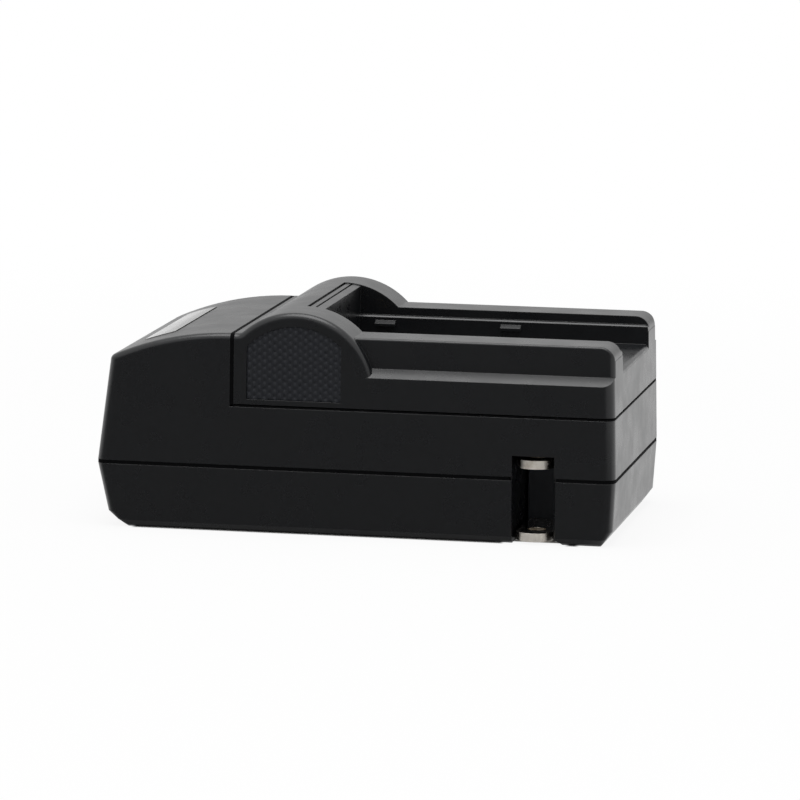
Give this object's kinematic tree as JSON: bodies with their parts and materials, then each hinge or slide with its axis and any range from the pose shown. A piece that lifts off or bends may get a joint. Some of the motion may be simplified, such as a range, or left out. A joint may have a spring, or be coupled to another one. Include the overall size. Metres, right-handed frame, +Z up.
{
  "type": "camera battery charger",
  "caption": "Black plug-in charger for camera batteries: sloping nose with an indicator window, arched battery plate with an open-ended bay that slides off, and a fold-out mains plug.",
  "frame": {"origin": "under the middle of the base, on the surface that the charger lies on", "axes": "+X along the length towards the open end of the battery bay, -Y towards the side with the plug slot, +Z up"},
  "size_m": [0.0914, 0.0552, 0.0388],
  "materials": {
    "black_plastic": "fine satin moulding",
    "plug_plastic": "plain moulding",
    "window": "clear gloss",
    "nickel": "nickel plate",
    "contact_metal": "plated spring strip",
    "screw_steel": "zinc plate",
    "board": "solder mask",
    "led": "diffused lens",
    "ferrite": "sintered",
    "tape": "polyester tape",
    "capacitor_sleeve": "shrink sleeve",
    "component_black": "moulded package",
    "ceramic": "moulded box"
  },
  "bodies": {
    "case": {"lower_case": "black_plastic", "upper_case": "black_plastic", "indicator_window": "window", "case_screws": "screw_steel", "deck_contacts": "contact_metal", "mains_springs": "contact_metal", "circuit_board": "board", "display_board": "board", "status_leds": "led", "transformer_core": "ferrite", "transformer_winding": "tape", "input_capacitor": "capacitor_sleeve", "output_capacitor": "capacitor_sleeve", "mains_fuse": "component_black", "bridge_rectifier": "component_black", "optocoupler": "component_black", "charge_controller": "component_black", "switching_transistor": "component_black", "safety_capacitor": "ceramic", "output_choke": "ferrite"},
    "plug": {"plug_rotor": "plug_plastic", "live_blade": "nickel", "neutral_blade": "nickel", "journal_contacts": "contact_metal"},
    "plate": {"battery_plate": "black_plastic", "positive_contact": "contact_metal", "data_contact": "contact_metal", "negative_contact": "contact_metal"}
  },
  "joints": [
    {"name": "plug_fold", "type": "hinge", "parent": "case", "child": "plug", "pos_m": [0.03155, -0.0034, 0.0076], "axis": [1, 0, 0], "range_deg": [0, 90]},
    {"name": "plate_slide", "type": "slide", "parent": "case", "child": "plate", "axis": [1, 0, 0], "range_m": [0, 0.006]}
  ]
}
